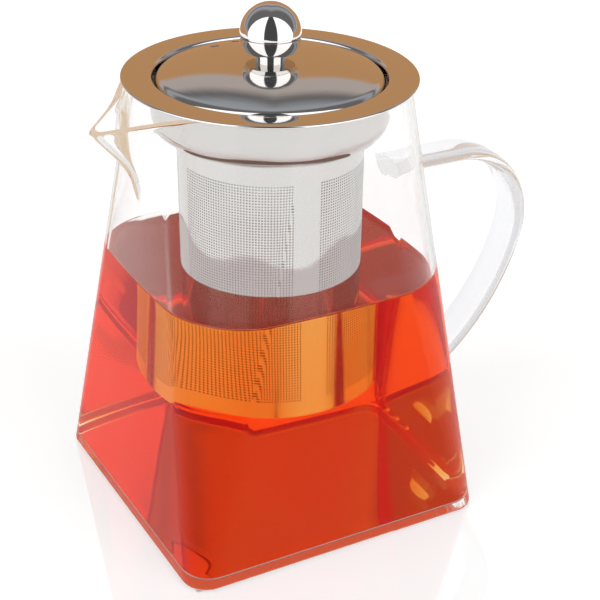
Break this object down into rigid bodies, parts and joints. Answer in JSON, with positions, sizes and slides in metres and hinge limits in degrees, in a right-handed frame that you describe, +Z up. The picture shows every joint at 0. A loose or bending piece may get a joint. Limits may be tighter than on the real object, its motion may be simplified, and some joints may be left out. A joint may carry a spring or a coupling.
{
  "type": "glass teapot with infuser",
  "caption": "Clear glass teapot with a square base, round mouth, pulled spout and ribbon handle, a lift-out steel infuser basket and a loose steel lid with a ball knob.",
  "frame": {"origin": "middle of the flat underside of the pot", "axes": "+Z up along the axis of the mouth, spout along -X, handle along +X, square sides across X and Y"},
  "size_m": [0.1562, 0.1048, 0.1643],
  "materials": {
    "clear_glass": "clear, fire polished",
    "tea": "clear red liquid",
    "polished_steel": "mirror polished",
    "satin_steel": "satin"
  },
  "bodies": {
    "pot": {"glass_body": "clear_glass", "glass_handle": "clear_glass", "brewed_tea": "tea"},
    "infuser": {"infuser_collar": "polished_steel", "infuser_sleeve": "satin_steel", "infuser_base": "satin_steel"},
    "lid": {"lid_shell": "polished_steel", "lid_knob": "polished_steel", "knob_neck": "polished_steel", "knob_washer": "satin_steel", "knob_screw": "satin_steel"}
  },
  "joints": [
    {"name": "infuser_lift", "type": "slide", "parent": "pot", "child": "infuser", "axis": [0, 0, 1], "range_m": [0, 0.115]},
    {"name": "lid_lift", "type": "slide", "parent": "infuser", "child": "lid", "axis": [0, 0, 1], "range_m": [0, 0.06]}
  ]
}
